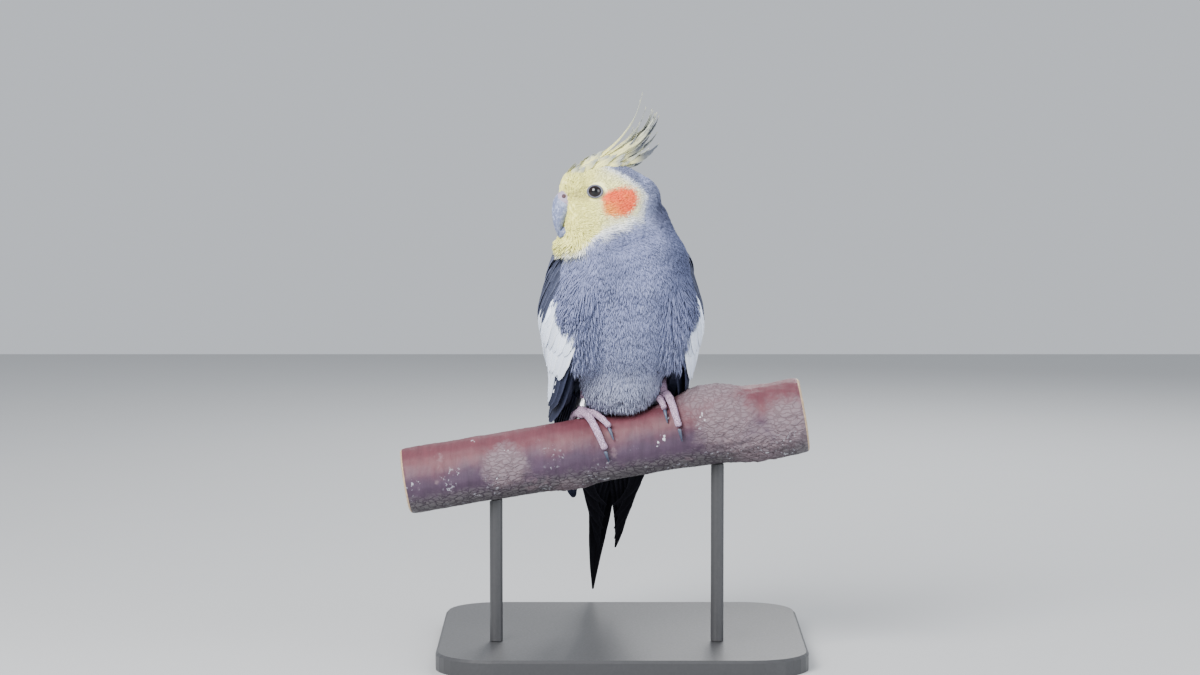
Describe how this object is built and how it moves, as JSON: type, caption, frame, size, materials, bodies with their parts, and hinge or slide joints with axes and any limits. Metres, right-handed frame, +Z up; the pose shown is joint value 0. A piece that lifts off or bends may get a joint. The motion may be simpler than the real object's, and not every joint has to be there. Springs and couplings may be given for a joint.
{
  "type": "cockatiel",
  "caption": "Life-size cockatiel at rest on a cut length of branch, head turned to one side, crest half raised, on a plain display stand.",
  "frame": {"origin": "middle of the underside of the stand's base", "axes": "+Z up, +X the viewer's right as the bird is seen from in front, -Y out of the bird's breast towards the viewer, so that the branch runs along X"},
  "size_m": [0.1895, 0.1739, 0.2615],
  "materials": {
    "plumage_grey": "soft grey feathers",
    "plumage_face": "soft pale yellow feathers with an orange cheek patch",
    "plumage_wing": "slate feathers with a large white patch",
    "plumage_tail": "near black feathers",
    "bill_horn": "flaky blue-grey horn",
    "eye_dark": "wet gloss",
    "claw_horn": "smooth dark horn",
    "foot_skin": "fine scaly skin",
    "ring_metal": "plain satin metal",
    "perch_bark": "smooth red-brown bark with rough knots",
    "stand_paint": "matt grey paint"
  },
  "bodies": {
    "root": {"head": "plumage_face", "neck": "plumage_grey", "torso": "plumage_grey", "bill_upper": "bill_horn", "bill_lower": "bill_horn", "eye_left": "eye_dark", "eye_right": "eye_dark", "wing_left": "plumage_wing", "wing_right": "plumage_wing", "tail": "plumage_tail", "leg_left": "foot_skin", "leg_right": "foot_skin", "foot_left": "foot_skin", "foot_right": "foot_skin", "claw_left_1": "claw_horn", "claw_left_2": "claw_horn", "claw_left_3": "claw_horn", "claw_left_4": "claw_horn", "claw_right_1": "claw_horn", "claw_right_2": "claw_horn", "claw_right_3": "claw_horn", "claw_right_4": "claw_horn", "leg_ring": "ring_metal", "perch": "perch_bark", "stand_base": "stand_paint", "stand_rod_left": "stand_paint", "stand_rod_right": "stand_paint"}
  },
  "joints": []
}
